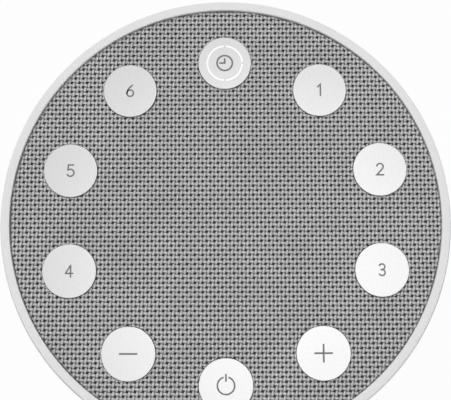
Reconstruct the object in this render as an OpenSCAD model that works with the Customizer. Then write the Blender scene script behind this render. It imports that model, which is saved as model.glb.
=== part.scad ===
// Bedside sound machine: a round housing with a cloth grille on top, ten push buttons in a ring
// and a speaker that faces up. The origin is on the table under the middle, +Y points at the back.

/* [Housing] */
// Outside diameter at its widest, a little under the rim
housing_d = 130.8; // [128:0.4:150]
// Height from the table to the top of the rim
housing_h = 50; // [48:1:60]
// Wall thickness
wall = 2.2; // [1.6:0.1:2.6]
// Width of the rim's flat top
rim_w = 2.4; // [2:0.1:3.4]
// How far the shoulder draws in from the widest place up to the rim
shoulder_w = 1; // [0.6:0.1:1.4]
// Height of the shoulder
shoulder_h = 4; // [3:0.1:4.4]
// Radius of the rim's outer edge
rim_round = 0.5; // [0.3:0.1:1]
// How far the wall leans in from its widest place to the bottom
wall_lean = 2.8; // [0:0.2:4]
// Radius of the bottom edge
base_round = 3.4; // [2:0.2:4]
// Thickness of the inner ledge that carries the grille
ledge_t = 2; // [1.6:0.1:2.6]
// Thickness of the base cover
cover_t = 2.4; // [2:0.1:3]

/* [Feet and base screws] */
// Height of the feet under the base
foot_h = 1.6; // [1.2:0.1:3]
// Diameter of a foot
foot_d = 13; // [10:0.5:15]
// Shank diameter of a base screw
base_screw_d = 2.9; // [2.5:0.1:3.2]
// Length of a base screw under its head
base_screw_l = 12; // [8:1:14]

/* [Grille] */
// Depth of the cloth's top under the rim
cloth_drop = 1; // [0.8:0.1:2]
// Thickness of the cloth
cloth_t = 0.6; // [0.4:0.1:0.8]
// Gap between the cloth and the rim
cloth_gap = 0.15; // [0.1:0.05:0.6]
// Gap between a cap and the edge of its hole in the cloth
cloth_hole_gap = 0.15; // [0.1:0.05:0.4]
// Thickness of the perforated plate
plate_t = 2.4; // [2:0.1:3]
// Diameter of a sound hole
sound_hole_d = 2.4; // [1.6:0.1:2.8]
// Distance between rings of sound holes
sound_hole_pitch = 3.9; // [3.6:0.1:4.5]

/* [Buttons] */
// Diameter of a button cap
button_d = 15.4; // [14:0.1:16]
// Distance from a cap's edge to the rim
button_inset = 7.4; // [6.6:0.1:8]
// How far the timer sits inside the circle of the other buttons
timer_in = 0.8; // [0:0.1:1]
// Height of the caps over the cloth
button_proud = 0.6; // [0.6:0.1:1.6]
// Travel of a button
travel = 0.5; // [0.3:0.1:0.6]
// Thickness of a cap's top
cap_top_t = 1.4; // [1:0.1:1.8]
// Thickness of a cap's skirt
cap_wall = 1.2; // [0.9:0.1:1.4]
// Running gap between a cap and its well
well_gap = 0.3; // [0.2:0.05:0.35]
// Width of the two keys that stop a cap from turning
key_w = 2; // [1.4:0.1:3]

/* [Timer light] */
// Middle radius of the light ring
light_r = 4.84; // [4.8:0.02:4.94]
// Width of the light's line
light_w = 0.48; // [0.3:0.02:0.6]
// Angle left dark between two arcs
light_dark = 6.5; // [4:0.5:12]

/* [Speaker] */
// Distance from the speaker's flange to the wells of the buttons
speaker_room = 4.7; // [4.7:0.1:6]
// Distance from the plate's underside to the speaker's flange
speaker_drop = 3.6; // [3.4:0.1:4.5]
// Excursion of the cone each way
cone_travel = 1.5; // [0.5:0.1:1.6]
// Outside diameter of the magnet
magnet_d = 39; // [34:1:42]
// Height of the magnet
magnet_h = 7; // [5:0.5:8]
// Diameter of the voice coil's former
coil_d = 13; // [12:0.5:15]

/* [Control board] */
// Distance from the plate's underside to the board's top
board_drop = 8; // [8:0.1:10]
// Board thickness
board_t = 1.6; // [1:0.1:2]
// Width of the ring board inside the button circle
board_in = 7.4; // [6.8:0.1:7.6]
// Width of the ring board outside the button circle
board_out = 8.6; // [7:0.1:9]
// Side of a switch body
switch_w = 6; // [5.6:0.1:6]
// Height of a switch body
switch_h = 3.5; // [3:0.1:3.8]
// Diameter of a switch plunger
plunger_d = 3.5; // [3:0.1:3.6]

/* [Power board] */
// Length of the board, along X
power_board_l = 40; // [38:1:42]
// Width of the board, along Y
power_board_w = 23.5; // [22:0.5:24]
// Distance from the board's rear edge to the housing's lip
power_board_in = 5.1; // [4.6:0.1:6.6]
// Height of the board over the base cover
power_board_lift = 3.4; // [3:0.1:5]
// Outside diameter of the power socket's nose
socket_d = 7.8; // [7:0.1:8.6]
// Bore of the power socket
socket_bore = 6.3; // [5.5:0.1:6.4]
// Diameter of the power socket's pin
socket_pin_d = 2.1; // [1.9:0.1:2.5]

/* [Hidden] */
$fn = 96;
CLOCKWISE = ["timer", "sound_1", "sound_2", "sound_3", "plus", "power", "minus",
             "sound_4", "sound_5", "sound_6"];

seat_gap = 0.1;       // between pieces that are clipped or laid in place
fit_gap = 0.05;       // between a screw and its hole, a pin and its socket

// Button circle
n_buttons = len(CLOCKWISE);
step = 360 / n_buttons;
housing_r = housing_d / 2;
rim_in_r = housing_r - shoulder_w - rim_w;
ring_r = rim_in_r - button_inset - button_d / 2;

// Heights, from the rim down
rim_z = housing_h;
cloth_z = rim_z - cloth_drop;
plate_top = cloth_z - cloth_t;
plate_z = plate_top - plate_t;
cap_z = cloth_z + button_proud;
board_z = plate_z - board_drop;
speaker_z = plate_z - speaker_drop;

// Housing
rim_edge = 0.3;
widest_round = 5;
crown_z = rim_z - shoulder_h;
base_r = housing_r - wall_lean;
lip_w = 1.4;
lip_r = base_r - base_round - lip_w;
seat_w = 1.8;
seat_r = lip_r - seat_w;
seat_t = 2;
cover_z = foot_h + cover_t;
ledge_w = 4.2;
ledge_r = rim_in_r - ledge_w;
ledge_z = plate_z - ledge_t;
function wall_r(z) = housing_r - wall_lean * (crown_z - z) / (crown_z - foot_h - base_round);

// Base screws and their bosses
boss_d = base_screw_d + 4.6;
base_screw_r = seat_r - boss_d / 2 - 0.85;
boss_h = base_screw_l + 2;
pad_h = 2;
head_d = base_screw_d * 2;
head_h = 1.9;
screw_seat_z = cover_z + pad_h - 1.8;
foot_r = seat_r - 9.6;
foot_sunk = 0.8;

// Wells and caps
cap_r = button_d / 2;
well_r = cap_r + well_gap;
collar_t = 1.2;
collar_r = well_r + collar_t;
collar_drop = 2.4;
collar_z = plate_z - collar_drop;
flange_play = 0.2;
flange_t = 1.2;
flange_r = collar_r - well_gap;
cap_bottom = collar_z - flange_play - flange_t;
cap_edge = 0.25;
skirt_r = cap_r - cap_wall;
switch_top = board_z + switch_h;
plunger_h = travel + 0.7;
stem_z = switch_top + plunger_h;
stem_d = 4.4;
key_reach = 0.85;
key_h = 2.2;
notch_h = key_h + 1.2;

// Hooks that clip the grille under the ledge
hook_w = 8;
hook_t = 1.4;
hook_reach = 1.2;
hook_r = ledge_r - 3 * seat_gap;

// Speaker
speaker_r = ring_r - collar_r - speaker_room;
flange_h = 1.2;
landing_t = 0.4;
landing_w = 2.4;
roll_w = 4.4;
roll_out_r = speaker_r - 2.8;
roll_in_r = roll_out_r - roll_w;
ear_d = 5.4;
ear_r = speaker_r + ear_d / 2;
speaker_screw_d = 2.2;
basket_t = 1.2;
basket_shelf_r = 17.5;
shelf_drop = 12.8;
floor_drop = 16;
neck_drop = 11;
basket_shelf_z = speaker_z - shelf_drop;
basket_floor_z = speaker_z - floor_drop;
former_r = coil_d / 2;
former_t = 0.15;
winding_t = 0.3;
coil_gap = 0.25;
bore_r = former_r + former_t + winding_t + coil_gap;
top_plate_h = 3;
motor_z = basket_floor_z - top_plate_h;
magnet_z = motor_z - magnet_h;
yoke_h = 3;
yoke_z = magnet_z - yoke_h;
cone_neck_z = speaker_z - neck_drop;
cone_t = 0.7;
cone_edge_r = roll_in_r;
seat_ring_h = 1.4;
tag_h = 8.6;
tag_l = 7;
tag_x = 3.2;
tag_reach = 1.6;

// Power board
power_board_y = seat_r - power_board_in;
power_z = cover_z + power_board_lift;
power_top = power_z + board_t;
post_d = 5;
small_screw_d = 2.2;
small_head_h = 1.6;
board_screw_l = 7;
post_x = power_board_l / 2 - 3;
post_y = [power_board_y - 3, power_board_y - power_board_w + 3];
elco_d = 8;
elco_h = 11;
elco_x = post_x - 5;
amp_size = [5, 6, 1.5];
amp_x = 6 - post_x;
socket_z = power_top + 6.5;
socket_l = 14.4;
socket_w = 9;
socket_h = 11;
socket_bore_l = 9.5;
socket_pin_l = 10.6;
pin_root = 2.5;
port_y = wall_r(socket_z) - 0.7;
socket_front = port_y - 3;
port_gap = 0.2;

// Wires
wire_d = 1.1;
wire_pitch = 2;
plug_h = 5.5;
control_plug_x = 8 - post_x;
speaker_plug_x = post_x - 8;
plug_y = power_board_y - power_board_w + 4;
board_plug = ring_r * [cos(3 * step), sin(3 * step)];

// Points on an arc round a centre, from one angle to another
function arc(centre, r, from, to, n = 8) =
    [for (i = [0:n]) let (a = from + (to - from) * i / n) centre + r * [cos(a), sin(a)]];

// Points that round a corner of an outline, between the points before and after it
function rounded(before, corner, after, r, n = 4) =
    let (u = (before - corner) / norm(before - corner),
         v = (after - corner) / norm(after - corner),
         half = acos(u * v) / 2,
         centre = corner + (u + v) / norm(u + v) * r / sin(half),
         p = corner + u * r / tan(half) - centre,
         q = corner + v * r / tan(half) - centre,
         from = atan2(p[1], p[0]))
    arc(centre, r, from, from + atan2(p[0] * q[1] - p[1] * q[0], p * q), n);

// Copies round the middle, the first one on +X before first is added
module around(n, r, first = 0) {
    for (i = [0:n - 1]) rotate(first + i * 360 / n) translate([r, 0, 0]) children();
}

// Moves to a button by its place in the clockwise list, the timer at the back
module at_button(i) {
    rotate(-i * step) translate([0, i == 0 ? ring_r - timer_in : ring_r, 0]) children();
}

module ring(r_in, r_out, z_low, z_high) {
    translate([0, 0, z_low]) linear_extrude(z_high - z_low) difference() {
        circle(r_out);
        circle(r_in);
    }
}

module block(size, low_z) {
    translate([0, 0, low_z + size[2] / 2]) cube(size, center = true);
}

// ---- Housing ----

module outer_shell() {
    widest = [housing_r, crown_z];
    top = [housing_r - shoulder_w, rim_z];
    outline = concat(
        [[lip_r, foot_h]],
        arc([base_r - base_round, foot_h + base_round], base_round, -90, 0),
        rounded([base_r, foot_h + base_round], widest, top, widest_round, 6),
        rounded(widest, top, [rim_in_r, rim_z], rim_round),
        arc([rim_in_r + rim_edge, rim_z - rim_edge], rim_edge, 90, 180, 3),
        [[rim_in_r, plate_z], [ledge_r, plate_z], [ledge_r, ledge_z],
         [wall_r(ledge_z) - wall - 1, ledge_z], [wall_r(ledge_z - 1) - wall, ledge_z - 1],
         [wall_r(cover_z + seat_t) - wall, cover_z + seat_t], [seat_r, cover_z + seat_t],
         [seat_r, cover_z], [lip_r, cover_z]]);
    boss_z = cover_z + pad_h;
    color("whitesmoke") difference() {
        union() {
            rotate_extrude() polygon(outline);
            around(4, base_screw_r, 45) translate([0, 0, boss_z]) {
                cylinder(d = boss_d, h = boss_h);
                translate([0, -wall / 2, seat_t - pad_h])
                    cube([wall_r(boss_z) - wall / 2 - base_screw_r, wall, boss_h]);
            }
        }
        around(4, base_screw_r, 45) translate([0, 0, boss_z - 1])
            cylinder(d = base_screw_d + 2 * fit_gap, h = boss_h);
        translate([0, 0, socket_z]) rotate([-90, 0, 0]) {
            cylinder(d = socket_d + 2 * port_gap, h = housing_r);
            translate([0, 0, port_y]) cylinder(d = socket_d + 4.8, h = wall);
        }
    }
}

module base_cover() {
    rib_h = 2;
    sunk = 0.5;  // how deep ribs, pads and posts root in the plate
    color("whitesmoke") difference() {
        union() {
            translate([0, 0, foot_h]) cylinder(r = lip_r - seat_gap, h = cover_t);
            around(4, base_screw_r, 45) translate([0, 0, cover_z - sunk])
                cylinder(d = boss_d + 1, h = sunk + pad_h - seat_gap);
            ring(20, 21.4, cover_z - sunk, cover_z + rib_h);
            around(8, 21, 22.5) translate([0, -0.7, cover_z - sunk])
                cube([base_screw_r - 25.5, 1.4, sunk + rib_h]);
            for (x = [-post_x, post_x], y = post_y) translate([x, y, cover_z - sunk])
                cylinder(d = post_d, h = sunk + power_board_lift);
        }
        around(4, base_screw_r, 45) translate([0, 0, foot_h - 1]) {
            cylinder(d = head_d + 0.8, h = screw_seat_z - foot_h + 1);
            cylinder(d = base_screw_d + 0.5, h = cover_t + pad_h + 2);
        }
        around(4, foot_r) translate([0, 0, foot_h - 1])
            cylinder(d = foot_d + 2 * seat_gap, h = 1 + foot_sunk);
        for (x = [-post_x, post_x], y = post_y) translate([x, y, cover_z])
            cylinder(d = small_screw_d + 2 * fit_gap, h = power_board_lift + 1);
    }
}

module base_screws() {
    color("dimgray") around(4, base_screw_r, 45)
        screw(base_screw_d, base_screw_l, head_h, screw_seat_z, 1);
}

// A pan-head screw with a cross recess: its seat at z, its shank up (way 1) or down (way -1)
module screw(d, l, head, z, way) {
    translate([0, 0, z]) rotate([way > 0 ? 0 : 180, 0, 0]) difference() {
        union() {
            cylinder(d = d, h = l);
            rotate_extrude() polygon(concat(
                [[0, 0], [d, 0]], arc([d - 0.6, -head + 0.6], 0.6, 0, -90, 4), [[0, -head]]));
        }
        for (a = [0, 90]) rotate(a) translate([0, 0, -head])
            cube([d * 1.1, d * 0.22, head], center = true);
    }
}

module rubber_feet() {
    edge = 0.5;
    r = foot_d / 2;
    color("dimgray") around(4, foot_r) rotate_extrude()
        polygon(concat([[0, 0]], arc([r - edge, edge], edge, -90, 0, 4),
                       [[r, foot_h + foot_sunk], [0, foot_h + foot_sunk]]));
}

// ---- Grille ----

module grille_frame() {
    plate_r = rim_in_r - cloth_gap - cloth_t;
    open_r = roll_out_r - 1;
    rings = floor((open_r - sound_hole_d / 2) / sound_hole_pitch);
    seat_in_r = roll_out_r + 0.2;
    color([0.16, 0.16, 0.17]) difference() {
        union() {
            translate([0, 0, plate_z]) linear_extrude(plate_t) difference() {
                circle(plate_r);
                circle(d = sound_hole_d);
                for (k = [1:rings]) around(6 * k, k * sound_hole_pitch) circle(d = sound_hole_d, $fn = 24);
            }
            for (i = [0:n_buttons - 1]) at_button(i)
                translate([0, 0, collar_z]) cylinder(r = collar_r, h = collar_drop + plate_t);
            ring(seat_in_r, speaker_r + 0.2, plate_z - seat_ring_h, plate_z);
            around(n_buttons, speaker_r) translate([0, -0.7, plate_z - 3])
                cube([ledge_r - 3 - speaker_r, 1.4, 3]);
            around(5, ring_r) translate([0, 0, board_z]) cylinder(d = post_d + 0.6, h = board_drop);
            around(4, ear_r, 45) translate([0, 0, speaker_z]) cylinder(d = ear_d - 0.4, h = speaker_drop);
            around(5, 0, step) grille_hook();
        }
        for (i = [0:n_buttons - 1]) at_button(i) translate([0, 0, collar_z - 1]) {
            cylinder(r = well_r, h = collar_drop + plate_t + 2);
            translate([-cap_r - key_reach - seat_gap, -key_w / 2 - well_gap, 0])
                cube([2 * (cap_r + key_reach + seat_gap), key_w + 2 * well_gap, notch_h + 1]);
        }
        around(5, ring_r) translate([0, 0, board_z - 1])
            cylinder(d = small_screw_d + 2 * fit_gap, h = board_screw_l + 2);
        around(4, ear_r, 45) translate([0, 0, speaker_z - 1])
            cylinder(d = speaker_screw_d + 2 * fit_gap, h = speaker_drop + 2);
    }
}

// A hook hanging from the plate on +X, its barb under the ledge
module grille_hook() {
    barb_z = ledge_z - seat_gap;
    rotate([90, 0, 0]) translate([0, 0, -hook_w / 2]) linear_extrude(hook_w)
        polygon([[hook_r - hook_t, plate_z + 0.5], [hook_r, plate_z + 0.5], [hook_r, barb_z],
                 [hook_r + hook_reach, barb_z], [hook_r + hook_reach, barb_z - 0.5],
                 [hook_r, barb_z - 2.2], [hook_r - hook_t, barb_z - 2.2]]);
}

module grille_cloth() {
    out_r = rim_in_r - cloth_gap;
    hem_z = plate_z + 0.3;
    color([0.57, 0.57, 0.57]) difference() {
        rotate_extrude() polygon(concat(
            [[0, plate_top], [out_r - cloth_t, plate_top], [out_r - cloth_t, hem_z], [out_r, hem_z]],
            arc([out_r - cloth_t, cloth_z - cloth_t], cloth_t, 0, 90, 4), [[0, cloth_z]]));
        for (i = [0:n_buttons - 1]) at_button(i)
            translate([0, 0, plate_top - 1]) cylinder(r = cap_r + cloth_hole_gap, h = cloth_t + 2);
    }
}

// ---- Buttons ----

module button_cap() {
    flange_top = cap_bottom + flange_t;
    for (a = [0, 180]) rotate(a) translate([cap_r - 0.5, -key_w / 2, flange_top - 0.5])
        cube([key_reach + 0.5, key_w, key_h + 0.5]);
    rotate_extrude() polygon(concat(
        [[0, stem_z], [stem_d / 2, stem_z], [stem_d / 2, cap_z - cap_top_t], [skirt_r, cap_z - cap_top_t],
         [skirt_r, cap_bottom], [flange_r, cap_bottom], [flange_r, flange_top], [cap_r, flange_top]],
        arc([cap_r - cap_edge, cap_z - cap_edge], cap_edge, 0, 90, 5), [[0, cap_z]]));
}

module plain_button(i) {
    color("white") at_button(i) button_cap();
}

// Arcs of the light line: two of a quarter turn on the right, one of a half turn on the left
LIGHT_ARCS = [[-90, 90], [0, 90], [90, 180]];

module light_arcs(grow, z_low, z_high) {
    for (a = LIGHT_ARCS) rotate(a[0] + light_dark / 2)
        rotate_extrude(angle = a[1] - light_dark)
            translate([light_r - light_w / 2 - grow, z_low]) square([light_w + 2 * grow, z_high - z_low]);
}

module timer_button() {
    color("white") at_button(0) difference() {
        button_cap();
        light_arcs(fit_gap / 2, cap_z - cap_top_t - 1, cap_z + 1);
    }
}

module timer_light_ring() {
    roof_z = cap_z - cap_top_t;
    color("ivory") at_button(0) {
        ring(light_r - light_w / 2 - 0.15, light_r + light_w / 2 + 0.52, switch_top - 1.1, roof_z);
        light_arcs(0, roof_z - 0.5, cap_z);
    }
}

module plunger(i) {
    collar_h = 0.8;
    color([0.15, 0.15, 0.15]) at_button(i) translate([0, 0, switch_top]) {
        translate([0, 0, -0.7]) cylinder(d = plunger_d, h = plunger_h + 0.7);
        translate([0, 0, -0.7 - collar_h]) cylinder(d = plunger_d + 1, h = collar_h);
    }
}

// ---- Boards ----

module tact_switches() {
    lid_t = 0.5;
    color([0.2, 0.2, 0.2]) for (i = [0:n_buttons - 1]) at_button(i) {
        difference() {
            block([switch_w, switch_w, switch_h], board_z);
            translate([0, 0, board_z + 0.5]) cylinder(d = plunger_d + 1.4, h = switch_h - lid_t - 0.5);
            translate([0, 0, board_z + 1]) cylinder(d = plunger_d + 0.3, h = switch_h);
        }
        for (x = [-1, 1], y = [-1, 1]) translate([x * (switch_w / 2 + 0.4), y * 2.25, 0])
            block([0.8, 0.7, 0.25], board_z);
    }
}

module timer_lights() {
    color("lightyellow") at_button(0) for (a = LIGHT_ARCS)
        rotate(a[0] + a[1] / 2) translate([light_r + 0.2, 0, 0]) block([0.8, 1.6, 0.6], board_z);
}

module control_board() {
    color("darkgreen") difference() {
        ring(ring_r - board_in, ring_r + board_out, board_z - board_t, board_z);
        around(5, ring_r) translate([0, 0, board_z - board_t - 1])
            cylinder(d = small_screw_d + 0.4, h = board_t + 2);
    }
}

module control_board_screws() {
    color("silver") around(5, ring_r)
        screw(small_screw_d, board_screw_l, small_head_h, board_z - board_t, 1);
}

module control_chip() {
    color([0.12, 0.12, 0.12]) rotate(step) translate([ring_r, 0, 0]) {
        block([7, 7, 1.4], board_z + 0.1);
        for (a = [0:90:270], k = [-3:3]) rotate(a) translate([3.9, k * 0.8, 0])
            block([1, 0.35, 0.25], board_z);
    }
}

module power_board() {
    color("darkgreen") difference() {
        translate([-power_board_l / 2, power_board_y - power_board_w, power_z])
            cube([power_board_l, power_board_w, board_t]);
        for (x = [-post_x, post_x], y = post_y) translate([x, y, power_z - 1])
            cylinder(d = small_screw_d + 0.4, h = board_t + 2);
    }
}

module power_board_screws() {
    color("silver") for (x = [-post_x, post_x], y = post_y) translate([x, y, 0])
        screw(small_screw_d, power_board_lift + board_t - 0.4, small_head_h, power_top, -1);
}

module power_socket() {
    color([0.13, 0.13, 0.13]) difference() {
        union() {
            translate([0, socket_front - socket_l / 2, 0]) block([socket_w, socket_l, socket_h], power_top);
            translate([0, socket_front - 1, socket_z]) rotate([-90, 0, 0])
                cylinder(d = socket_d, h = port_y - socket_front + 1 - seat_gap);
        }
        translate([0, port_y - socket_bore_l, socket_z]) rotate([-90, 0, 0])
            cylinder(d = socket_bore, h = socket_bore_l + 1);
        translate([0, port_y - socket_bore_l - pin_root - 0.5, socket_z]) rotate([-90, 0, 0])
            cylinder(d = socket_pin_d + 2 * fit_gap, h = pin_root + 1);
    }
}

module power_socket_pin() {
    tip = 0.5;
    color("silver") translate([0, port_y - socket_bore_l - pin_root, socket_z]) rotate([-90, 0, 0]) {
        cylinder(d = socket_pin_d, h = socket_pin_l);
        translate([0, 0, socket_pin_l]) cylinder(d1 = socket_pin_d, d2 = socket_pin_d - 2 * tip, h = tip);
    }
}

module amplifier_chip() {
    color([0.12, 0.12, 0.12]) translate([amp_x, power_board_y - elco_d, 0]) {
        block(amp_size, power_top + 0.1);
        for (x = [-1, 1], k = [-2:2]) translate([x * (amp_size[0] + 1) / 2, k * amp_size[1] / 5, 0])
            block([1, 0.4, 0.3], power_top);
    }
}

module capacitor() {
    r = elco_d / 2;
    groove = 0.3;
    color("slategray") translate([elco_x, power_board_y - elco_d, power_top]) rotate_extrude() polygon(
        [[0, 0], [r - 0.1, 0], [r, groove], [r, 1], [r - groove, 1.4], [r, 1.8], [r, elco_h - 0.4],
         [r - 0.4, elco_h], [0, elco_h]]);
}

// A small wire socket of n ways with its mouth up
module wire_socket(n) {
    w = (n - 1) * wire_pitch + 3.6;
    difference() {
        block([w, 4.6, plug_h], 0);
        block([w - 1.4, 3.2, plug_h], 1);
    }
}

module wire_sockets() {
    color("ivory") {
        translate([control_plug_x, plug_y, power_top]) wire_socket(4);
        translate([speaker_plug_x, plug_y, power_top]) wire_socket(2);
        translate([board_plug[0], board_plug[1], board_z - board_t]) rotate([180, 0, 0]) wire_socket(4);
    }
}

// ---- Speaker ----

module speaker_gasket() {
    color([0.1, 0.1, 0.1]) ring(roll_out_r + 0.4, speaker_r, speaker_z + landing_t, plate_z - seat_ring_h);
}

module speaker_basket() {
    top_r = roll_out_r + basket_t;
    low_r = basket_shelf_r + 2.7;
    flange_z = speaker_z - flange_h;
    color([0.2, 0.2, 0.21]) difference() {
        union() {
            rotate_extrude() polygon(
                [[roll_out_r, speaker_z], [speaker_r, speaker_z], [speaker_r, flange_z], [top_r, flange_z],
                 [low_r, basket_shelf_z - basket_t], [basket_shelf_r + basket_t, basket_shelf_z - basket_t],
                 [basket_shelf_r + basket_t, basket_floor_z], [bore_r, basket_floor_z],
                 [bore_r, basket_floor_z + basket_t], [basket_shelf_r, basket_floor_z + basket_t],
                 [basket_shelf_r, basket_shelf_z], [low_r - basket_t, basket_shelf_z],
                 [roll_out_r, flange_z]]);
            around(4, ear_r, 45) translate([0, 0, flange_z]) {
                cylinder(d = ear_d, h = flange_h);
                translate([-ear_d / 2 - 0.6, -ear_d / 2, 0]) cube([ear_d / 2 + 0.6, ear_d, flange_h]);
            }
        }
        around(4, ear_r, 45) translate([0, 0, flange_z - 1])
            cylinder(d = speaker_screw_d + 0.5, h = flange_h + 2);
        around(4, 0, 15) rotate_extrude(angle = 60)
            translate([basket_shelf_r - 2, basket_shelf_z + 1.6])
                square([speaker_r, flange_z - basket_shelf_z - 3]);
    }
}

module speaker_screws() {
    color("silver") around(4, ear_r, 45)
        screw(speaker_screw_d, flange_h + speaker_drop - 0.4, 1.5, speaker_z - flange_h, 1);
}

module speaker_top_plate() {
    color("silver") ring(bore_r, magnet_d / 2 - 2, motor_z, basket_floor_z);
}

module speaker_magnet() {
    color([0.25, 0.25, 0.26]) ring(coil_d / 2 + 3.5, magnet_d / 2, magnet_z, motor_z);
}

module speaker_yoke() {
    pole_r = former_r - coil_gap;
    vent_r = 2;
    plate_r = magnet_d / 2 - 2;
    color("silver") rotate_extrude() polygon(
        [[vent_r, yoke_z], [plate_r - 0.4, yoke_z], [plate_r, yoke_z + 0.4], [plate_r, magnet_z],
         [pole_r, magnet_z], [pole_r, basket_floor_z + 0.2], [vent_r, basket_floor_z + 0.2]]);
}

module speaker_surround() {
    mid = (roll_in_r + roll_out_r) / 2;
    roll = roll_w / 2;
    color([0.08, 0.08, 0.08]) rotate_extrude() polygon(concat(
        [[roll_in_r - landing_w, speaker_z + landing_t], [roll_in_r - landing_w, speaker_z],
         [roll_in_r, speaker_z]],
        arc([mid, speaker_z], roll, 180, 0, 10),
        [[roll_out_r + landing_w, speaker_z], [roll_out_r + landing_w, speaker_z + landing_t]],
        arc([mid, speaker_z + landing_t], roll, 0, 180, 10)));
}

module speaker_spider() {
    in_r = former_r + former_t;
    out_r = basket_shelf_r + 1.4;
    waves = 4;
    points = 40;
    sheet_t = 0.4;
    swell = 0.6;
    flat = 1.6;
    function spider_z(r) = basket_shelf_z + swell * max(0, sin(180 * (r - in_r) / (out_r - flat - in_r)))
        * sin(360 * waves * (r - in_r) / (out_r - in_r));
    radii = [for (i = [0:points]) in_r + (out_r - in_r) * i / points];
    color("tan") rotate_extrude() polygon(concat(
        [for (r = radii) [r, spider_z(r)]],
        [for (i = [points:-1:0]) [radii[i], spider_z(radii[i]) + sheet_t]]));
}

// The cone's flare: steep at the neck, flatter towards the edge
function cone_z(r) = cone_neck_z + (speaker_z - cone_neck_z)
    * pow((r - former_r - former_t) / (cone_edge_r - former_r - former_t), 0.8);

module speaker_cone() {
    neck_r = former_r + former_t;
    points = 14;
    radii = [for (i = [0:points]) neck_r + (cone_edge_r - neck_r) * i / points];
    color([0.14, 0.14, 0.14]) rotate_extrude() polygon(concat(
        [for (r = radii) [r, cone_z(r)]],
        [for (i = [points:-1:0]) [radii[i], cone_z(radii[i]) - cone_t]]));
}

module speaker_dust_cap() {
    r = former_r + 3;
    rise = 3;
    dome_r = (r * r + rise * rise) / (2 * rise);
    half = asin(r / dome_r);
    centre = [0, cone_z(r) + 0.1 + rise - dome_r];
    skin = 0.35;
    color([0.1, 0.1, 0.1]) rotate_extrude() polygon(concat(
        arc(centre, dome_r, 90, 90 - half, 8), arc(centre, dome_r - skin, 90 - half + 0.3, 90, 8)));
}

module voice_coil() {
    coil_z = motor_z - cone_travel - 0.8;
    coil_h = top_plate_h + 2 * cone_travel;
    former_z = coil_z - 0.3;
    color("peru") {
        ring(former_r, former_r + former_t, former_z, cone_neck_z + 1);
        ring(former_r + former_t, former_r + former_t + winding_t, coil_z, coil_z + coil_h);
    }
}

// A tag plate under the flange at the back, with two solder tags
module speaker_terminals() {
    tag_z = speaker_z - flange_h - tag_h;
    color("peru") translate([0, speaker_r - 1, 0]) {
        block([10, 1.1, tag_h], tag_z);
        for (x = [-tag_x, tag_x]) translate([x, 0.85, 0]) block([2, 0.6, tag_l], tag_z - tag_reach);
    }
}

// ---- Wires ----

// A smooth line through a few points
function between(a, b, c, d, t) =
    0.5 * ((2 * b) + (c - a) * t + (2 * a - 5 * b + 4 * c - d) * t * t + (3 * b - a - 3 * c + d) * t * t * t);
function smooth(p, n = 6) = let (last = len(p) - 1) concat(
    [for (i = [0:last - 1], k = [0:n - 1])
        between(p[max(i - 1, 0)], p[i], p[i + 1], p[min(i + 2, last)], k / n)],
    [p[last]]);

module wire(points, d = wire_d) {
    sides = 8;
    path = smooth(points);
    last = len(path) - 1;
    rings = [for (i = [0:last]) let (
            way = path[min(i + 1, last)] - path[max(i - 1, 0)],
            t = way / norm(way),
            v = cross(t, [1, 0, 0]) / norm(cross(t, [1, 0, 0])),
            u = cross(v, t))
        [for (k = [0:sides - 1]) path[i] + d / 2 * (u * cos(360 * k / sides) + v * sin(360 * k / sides))]];
    walls = [for (i = [0:last - 1], k = [0:sides - 1]) let (j = (k + 1) % sides)
        [i * sides + k, i * sides + j, (i + 1) * sides + j, (i + 1) * sides + k]];
    ends = [[for (k = [sides - 1:-1:0]) k], [for (k = [0:sides - 1]) last * sides + k]];
    polyhedron([for (r = rings) each r], concat(walls, ends));
}

module speaker_wires() {
    tag_z = speaker_z - flange_h - tag_h - tag_reach;
    low_z = power_top + wire_d;
    color("firebrick") for (k = [-1, 1]) {
        x_low = speaker_plug_x + k * wire_pitch / 2;
        x_tag = k * tag_x;
        y_tag = speaker_r + 0.2 + wire_d / 2;
        wire([[x_low, plug_y, low_z], [x_low, plug_y, power_top + plug_h + wire_pitch],
              [(x_low + x_tag) / 2, plug_y + wire_pitch, power_top + 2 * plug_h + wire_d],
              [x_tag, y_tag + wire_d / 2, tag_z - tag_reach], [x_tag, y_tag, tag_z + tag_reach],
              [x_tag, y_tag, tag_z + 3 * tag_reach]]);
    }
}

module control_wires() {
    low_z = power_top + 1.2;
    high_z = board_z - board_t - 1.2;
    color("dimgray") for (k = [-1.5:1.5]) {
        x_low = control_plug_x + k * wire_pitch;
        x_high = board_plug[0] + k * wire_pitch;
        wire([[x_low, plug_y, low_z], [x_low, plug_y, low_z + 6],
              [x_low - 2, plug_y + 6, low_z + 10], [x_high, board_plug[1], high_z - 6],
              [x_high, board_plug[1], high_z]]);
    }
}

outer_shell();
base_cover();
base_screws();
rubber_feet();
grille_frame();
grille_cloth();
timer_button();
timer_light_ring();
timer_lights();
control_board();
control_board_screws();
control_chip();
tact_switches();
speaker_gasket();
speaker_basket();
speaker_screws();
speaker_top_plate();
speaker_magnet();
speaker_yoke();
speaker_surround();
speaker_spider();
speaker_cone();
speaker_dust_cap();
voice_coil();
speaker_terminals();
power_board();
power_board_screws();
power_socket();
power_socket_pin();
amplifier_chip();
capacitor();
wire_sockets();
speaker_wires();
control_wires();
for (i = [1:n_buttons - 1]) plain_button(i);
for (i = [0:n_buttons - 1]) plunger(i);
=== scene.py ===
import bpy
import bmesh
from math import atan2, ceil, cos, pi, radians, sin, tan
from mathutils import Matrix, Vector


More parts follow.
